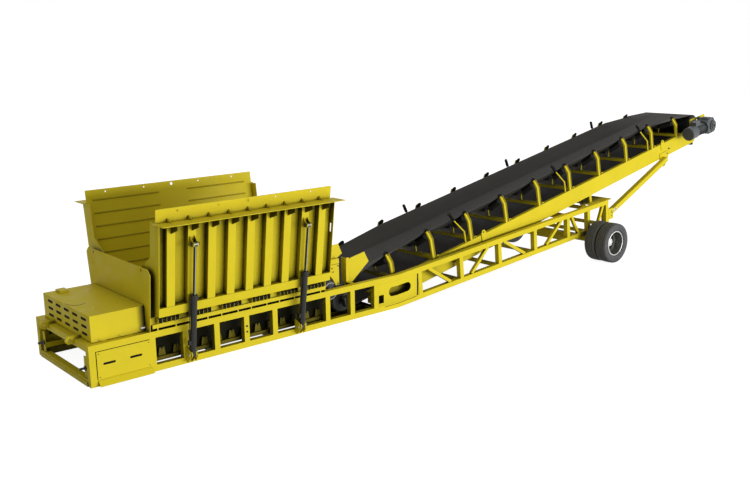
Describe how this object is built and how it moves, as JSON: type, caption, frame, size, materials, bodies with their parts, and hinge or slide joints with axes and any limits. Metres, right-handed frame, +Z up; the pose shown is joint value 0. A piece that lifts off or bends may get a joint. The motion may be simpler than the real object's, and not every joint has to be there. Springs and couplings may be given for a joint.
{
  "type": "mobile stacker conveyor",
  "caption": "wheeled belt conveyor with a folding-sided truck hopper, feeder belt, ladder chassis, rising truss and an inclined troughed belt that piles bulk material",
  "frame": {"origin": "underside of the feed end sill, mid width, in the plane of the side frames' end faces", "axes": "+X along the machine from the feed end to the discharge head, +Z up"},
  "size_m": [14.9094, 3.07, 2.6233],
  "materials": {
    "yellow_paint": "gloss",
    "grey_paint": "satin",
    "belt_rubber": "matt",
    "roller_steel": "satin",
    "rod_chrome": "polished",
    "tyre_rubber": "matt",
    "rim_paint": "satin"
  },
  "bodies": {
    "chassis": {"axle": "yellow_paint", "belt_scraper": "yellow_paint", "chute_sides": "yellow_paint", "conveyor_rollers": "roller_steel", "conveyor_supports": "yellow_paint", "cross_members": "yellow_paint", "cylinder_feet": "yellow_paint", "feed_end_frame": "yellow_paint", "feeder_belt": "belt_rubber", "feeder_drums": "roller_steel", "feeder_rails": "yellow_paint", "feeder_rollers": "roller_steel", "feeder_side_frames": "yellow_paint", "gearmotor": "grey_paint", "guide_rollers": "yellow_paint", "head_guard": "yellow_paint", "head_pulley": "roller_steel", "hinge_rail_far": "yellow_paint", "hinge_rail_near": "yellow_paint", "hood": "yellow_paint", "hopper_end_plates": "yellow_paint", "hopper_throat": "yellow_paint", "idler_frames": "yellow_paint", "main_belt": "belt_rubber", "power_pack": "grey_paint", "prop_plates": "yellow_paint", "props": "yellow_paint", "pulley_bearings": "grey_paint", "side_frame_far": "yellow_paint", "side_frame_near": "yellow_paint", "side_panels": "yellow_paint", "stringer_far": "yellow_paint", "stringer_near": "yellow_paint", "tail_pulley": "roller_steel", "towing_eyes": "yellow_paint", "truss_cross_members": "yellow_paint", "truss_far": "yellow_paint", "truss_near": "yellow_paint"},
    "wing_near": {"wing_cheeks_near": "yellow_paint", "wing_ledge_near": "yellow_paint", "wing_panel_near": "yellow_paint", "wing_rail_near": "yellow_paint", "wing_ribs_near": "yellow_paint"},
    "cylinder_barrel_near_feed": {"barrel_near_feed": "yellow_paint"},
    "cylinder_rod_near_feed": {"rod_near_feed": "rod_chrome"},
    "cylinder_barrel_near_head": {"barrel_near_head": "yellow_paint"},
    "cylinder_rod_near_head": {"rod_near_head": "rod_chrome"},
    "wheels_near": {"tyres_near": "tyre_rubber", "rims_near": "rim_paint"},
    "wing_far": {"wing_cheeks_far": "yellow_paint", "wing_ledge_far": "yellow_paint", "wing_panel_far": "yellow_paint", "wing_rail_far": "yellow_paint", "wing_ribs_far": "yellow_paint"},
    "cylinder_barrel_far_feed": {"barrel_far_feed": "yellow_paint"},
    "cylinder_rod_far_feed": {"rod_far_feed": "rod_chrome"},
    "cylinder_barrel_far_head": {"barrel_far_head": "yellow_paint"},
    "cylinder_rod_far_head": {"rod_far_head": "rod_chrome"},
    "wheels_far": {"tyres_far": "tyre_rubber", "rims_far": "rim_paint"}
  },
  "joints": [
    {"name": "wheels_near_spin", "type": "hinge", "parent": "chassis", "child": "wheels_near", "pos_m": [10.47287, -1.281, 0.391], "axis": [0, 1, 0], "continuous": true},
    {"name": "wing_near_fold", "type": "hinge", "parent": "chassis", "child": "wing_near", "pos_m": [2.361, -0.905, 0.705], "axis": [1, 0, 0], "range_deg": [0, 80]},
    {"name": "cylinder_near_feed_swing", "type": "hinge", "parent": "chassis", "child": "cylinder_barrel_near_feed", "pos_m": [1.418, -0.98, 0.15], "axis": [1, 0, 0], "range_deg": [-0.5, 58.44]},
    {"name": "cylinder_near_feed_stroke", "type": "slide", "parent": "cylinder_barrel_near_feed", "child": "cylinder_rod_near_feed", "axis": [0, -0.1436, 0.9896], "range_m": [-0.52, 0.002]},
    {"name": "cylinder_near_head_swing", "type": "hinge", "parent": "chassis", "child": "cylinder_barrel_near_head", "pos_m": [3.254, -0.98, 0.15], "axis": [1, 0, 0], "range_deg": [-0.5, 58.44]},
    {"name": "cylinder_near_head_stroke", "type": "slide", "parent": "cylinder_barrel_near_head", "child": "cylinder_rod_near_head", "axis": [0, -0.1436, 0.9896], "range_m": [-0.52, 0.002]},
    {"name": "wheels_far_spin", "type": "hinge", "parent": "chassis", "child": "wheels_far", "pos_m": [10.47287, 1.281, 0.391], "axis": [0, 1, 0], "continuous": true},
    {"name": "wing_far_fold", "type": "hinge", "parent": "chassis", "child": "wing_far", "pos_m": [2.361, 0.905, 0.705], "axis": [-1, 0, 0], "range_deg": [0, 80]},
    {"name": "cylinder_far_feed_swing", "type": "hinge", "parent": "chassis", "child": "cylinder_barrel_far_feed", "pos_m": [1.418, 0.98, 0.15], "axis": [-1, 0, 0], "range_deg": [-0.5, 58.44]},
    {"name": "cylinder_far_feed_stroke", "type": "slide", "parent": "cylinder_barrel_far_feed", "child": "cylinder_rod_far_feed", "axis": [0, 0.1436, 0.9896], "range_m": [-0.52, 0.002]},
    {"name": "cylinder_far_head_swing", "type": "hinge", "parent": "chassis", "child": "cylinder_barrel_far_head", "pos_m": [3.254, 0.98, 0.15], "axis": [-1, 0, 0], "range_deg": [-0.5, 58.44]},
    {"name": "cylinder_far_head_stroke", "type": "slide", "parent": "cylinder_barrel_far_head", "child": "cylinder_rod_far_head", "axis": [0, 0.1436, 0.9896], "range_m": [-0.52, 0.002]}
  ],
  "couplings": [
    {"joint": "cylinder_near_feed_swing", "follows": "wing_near_fold", "ratio": 0.72427},
    {"joint": "cylinder_near_feed_stroke", "follows": "wing_near_fold", "m_per_rad": -0.37099},
    {"joint": "cylinder_near_head_swing", "follows": "wing_near_fold", "ratio": 0.72427},
    {"joint": "cylinder_near_head_stroke", "follows": "wing_near_fold", "m_per_rad": -0.37099},
    {"joint": "cylinder_far_feed_swing", "follows": "wing_far_fold", "ratio": 0.72427},
    {"joint": "cylinder_far_feed_stroke", "follows": "wing_far_fold", "m_per_rad": -0.37099},
    {"joint": "cylinder_far_head_swing", "follows": "wing_far_fold", "ratio": 0.72427},
    {"joint": "cylinder_far_head_stroke", "follows": "wing_far_fold", "m_per_rad": -0.37099}
  ]
}
